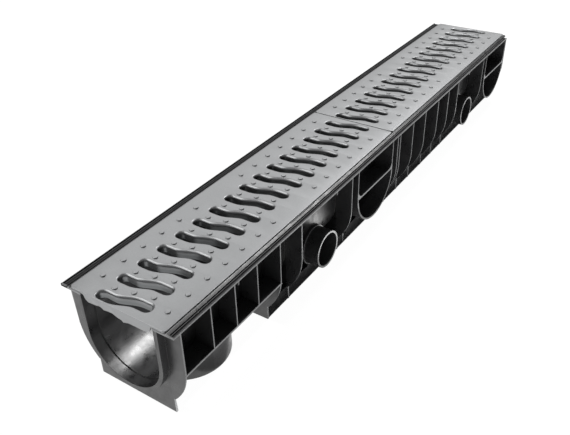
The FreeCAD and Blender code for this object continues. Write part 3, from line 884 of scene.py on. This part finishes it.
class DRAIN_OT_gratings(bpy.types.Operator):
    """Two pressed steel gratings with drawn slots and raised pips"""

    bl_idname = "drain.gratings"
    bl_label = "Gratings"

    def execute(self, context):
        sizes = context.scene.drain_grating
        steel = steel_material(context.scene.drain_finishes)
        half_x = PLATE_HIGH.x
        half_y = (PLATE_HIGH.y - PLATE_LOW.y) / 2 - sizes.joint_trim
        top = PLATE_HIGH.z - SOLID_PIP_HEIGHT
        seat = top - SHEET_EDGE_DEPTH
        first_slot = sizes.slot_start - sizes.joint_trim - half_y
        cell = new_object("slot_cell", self.cell_mesh(sizes, top, half_x))
        pip = new_object("pip", self.pip_mesh(sizes, top))
        blank = new_object("grating_blank", self.blank_mesh(sizes, top, seat, half_x, half_y, first_slot))
        tree = self.tree(sizes, first_slot)
        modifier = blank.modifiers.new("slots_and_pips", "NODES")
        modifier.node_group = tree
        values = {"Slot cell": cell, "Pip": pip, "Steel": steel}
        for item in tree.interface.items_tree:
            if item.name in values:
                modifier[item.identifier] = values[item.name]
        depsgraph = context.evaluated_depsgraph_get()
        plate = bpy.data.meshes.new_from_object(blank.evaluated_get(depsgraph))
        for part in (blank, cell, pip):
            bpy.data.objects.remove(part)
        plate.shade_smooth()
        plate.set_sharp_from_angle(angle=math.radians(GRATING_SHARP_ANGLE))
        for node in ("grating_near", "grating_far"):
            low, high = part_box(node)
            mesh = plate.copy()
            mesh.transform(Matrix.Translation((0, (low.y + high.y) / 2, 0)))
            grating = new_object(node.replace("grating", "pressed_grating"), mesh)
            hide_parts(node)
            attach(grating, "root")
        return {"FINISHED"}

    def cell_mesh(self, sizes, top, half_x):
        mesh = bmesh.new()
        add_cell(mesh, sizes, top, half_x, 0, -sizes.slot_pitch / 2, sizes.slot_pitch / 2)
        return finished_mesh(mesh, "slot_cell")

    def pip_mesh(self, sizes, top):
        """Low round pip with a steep side and a flat top."""
        radius, height = sizes.pip_diameter / 2, sizes.pip_height
        turns = [2 * math.pi * step / PIP_SIDES for step in range(PIP_SIDES)]
        mesh = bmesh.new()
        rings = [
            [(radius * share * math.cos(turn), radius * share * math.sin(turn), top + rise * height)
             for turn in turns]
            for share, rise in PIP_PROFILE
        ]
        foot, crown = add_loft(mesh, rings)
        mesh.faces.new(crown)
        mesh.faces.new(foot[::-1])
        return finished_mesh(mesh, "pip")

    def blank_mesh(self, sizes, top, seat, half_x, half_y, first_slot):
        """Rounded edge of the sheet, the cells at both ends and the two end flanges."""
        mesh = bmesh.new()
        half_pitch = sizes.slot_pitch / 2
        last_slot = first_slot + sizes.slot_pitch * (sizes.slot_count - 1)
        add_cell(mesh, sizes, top, half_x, first_slot, -half_y, first_slot + half_pitch, low_end=True)
        add_cell(mesh, sizes, top, half_x, last_slot, last_slot - half_pitch, half_y, high_end=True)
        stops = [first_slot + half_pitch + sizes.slot_pitch * step for step in range(sizes.slot_count - 1)]
        profile = []
        for step in range(EDGE_STEPS + 1):
            turn = math.pi / 2 * step / EDGE_STEPS
            profile.append((
                sizes.edge_round * (1 - math.sin(turn)), top - sizes.edge_round * (1 - math.cos(turn))
            ))
        profile += [(0, seat), (sizes.sheet, seat), (sizes.sheet, top - sizes.sheet)]
        rings = []
        for inset, z in profile:
            radius = sizes.corner_radius - inset
            outline = plate_outline(
                half_x - inset, -half_y + inset, half_y - inset, radius, radius, stops
            )
            rings.append([(x, y, z) for x, y in outline])
        add_loft(mesh, rings)
        for outward in (-1, 1):
            flange_mesh(mesh, sizes, top, outward * half_y, outward)
        return finished_mesh(mesh, "grating_blank")

    def tree(self, sizes, first_slot):
        """Node tree that sets the inner slot cells and all pips into the blank."""
        tree = bpy.data.node_groups.new("slots_and_pips", "GeometryNodeTree")
        face = tree.interface
        face.new_socket(name="Blank", in_out="INPUT", socket_type="NodeSocketGeometry")
        face.new_socket(name="Slot cell", in_out="INPUT", socket_type="NodeSocketObject")
        face.new_socket(name="Pip", in_out="INPUT", socket_type="NodeSocketObject")
        face.new_socket(name="Steel", in_out="INPUT", socket_type="NodeSocketMaterial")
        numbers = {
            "Inner cells": ("NodeSocketInt", sizes.slot_count - 2),
            "Gaps": ("NodeSocketInt", sizes.slot_count - 1),
            "Slot pitch": ("NodeSocketFloat", sizes.slot_pitch),
            "First slot": ("NodeSocketFloat", first_slot),
        }
        for name, (kind, value) in numbers.items():
            socket = face.new_socket(name=name, in_out="INPUT", socket_type=kind)
            socket.default_value = value
        face.new_socket(name="Grating", in_out="OUTPUT", socket_type="NodeSocketGeometry")
        given = add(tree, "NodeGroupInput").outputs
        step = add(tree, "ShaderNodeCombineXYZ", {"Y": given["Slot pitch"]}).outputs[0]

        def row(count, x, shift, skipped=None):
            """Points along the channel, one for each slot or gap, without the skipped ones."""
            start_y = add(tree, "ShaderNodeMath", {
                0: given["Slot pitch"], 1: shift, 2: given["First slot"]
            }, operation="MULTIPLY_ADD").outputs[0]
            start = add(tree, "ShaderNodeCombineXYZ", {"X": x, "Y": start_y}).outputs[0]
            line = add(tree, "GeometryNodeMeshLine", {
                "Count": count, "Start Location": start, "Offset": step
            }).outputs[0]
            if skipped is None:
                return line
            index = add(tree, "GeometryNodeInputIndex").outputs[0]
            away = add(tree, "ShaderNodeMath", {0: index, 1: skipped}, operation="SUBTRACT").outputs[0]
            near = add(tree, "ShaderNodeMath", {0: away}, operation="ABSOLUTE").outputs[0]
            missing = add(tree, "ShaderNodeMath", {0: near, 1: 1.0}, operation="LESS_THAN").outputs[0]
            return add(tree, "GeometryNodeDeleteGeometry", {
                "Geometry": line, "Selection": missing
            }).outputs[0]

        cell = add(tree, "GeometryNodeObjectInfo", {"Object": given["Slot cell"]}).outputs["Geometry"]
        pip = add(tree, "GeometryNodeObjectInfo", {"Object": given["Pip"]}).outputs["Geometry"]
        cells = add(tree, "GeometryNodeInstanceOnPoints", {
            "Points": row(given["Inner cells"], 0.0, 1.0), "Instance": cell
        }).outputs[0]
        points = add(tree, "GeometryNodeJoinGeometry")
        for x, shift, skipped in PIP_ROWS:
            line = row(given["Gaps"], x * MM, 0.5 + shift * MM / sizes.slot_pitch, skipped)
            tree.links.new(line, points.inputs[0])
        pips = add(tree, "GeometryNodeInstanceOnPoints", {
            "Points": points.outputs[0], "Instance": pip
        }).outputs[0]
        joined = add(tree, "GeometryNodeJoinGeometry")
        for part in (given["Blank"], cells, pips):
            tree.links.new(part, joined.inputs[0])
        real = add(tree, "GeometryNodeRealizeInstances", {"Geometry": joined.outputs[0]}).outputs[0]
        merged = add(tree, "GeometryNodeMergeByDistance", {
            "Geometry": real, "Distance": JOIN_DISTANCE
        }).outputs[0]
        finished = add(tree, "GeometryNodeSetMaterial", {
            "Geometry": merged, "Material": given["Steel"]
        }).outputs[0]
        add(tree, "NodeGroupOutput", {0: finished})
        return tree


class DRAIN_PT_panel(bpy.types.Panel):
    """Sidebar panel of the drainage channel"""

    bl_idname = "DRAIN_PT_panel"
    bl_label = "Drainage channel"
    bl_space_type = "VIEW_3D"
    bl_region_type = "UI"
    bl_category = "Drainage"

    def draw(self, context):
        layout = self.layout
        for operator in (DRAIN_OT_studio, DRAIN_OT_body, DRAIN_OT_gratings):
            layout.operator(operator.bl_idname)
        for setting in SETTINGS:
            group = getattr(context.scene, setting)
            for name in group.__annotations__:
                layout.prop(group, name)


CLASSES = (
    DrainGratingSizes, DrainBodySizes, DrainFinishes, DrainStudio,
    DRAIN_OT_studio, DRAIN_OT_body, DRAIN_OT_gratings, DRAIN_PT_panel,
)
SETTINGS = {
    "drain_grating": DrainGratingSizes, "drain_body": DrainBodySizes,
    "drain_finishes": DrainFinishes, "drain_studio": DrainStudio,
}


def register():
    for item in CLASSES:
        bpy.utils.register_class(item)
    for name, group in SETTINGS.items():
        setattr(bpy.types.Scene, name, PointerProperty(type=group))


def unregister():
    for name in SETTINGS:
        delattr(bpy.types.Scene, name)
    for item in reversed(CLASSES):
        bpy.utils.unregister_class(item)


def main():
    register()
    bpy.ops.drain.studio()
    bpy.ops.drain.body()
    bpy.ops.drain.gratings()


if __name__ == "__main__":
    main()
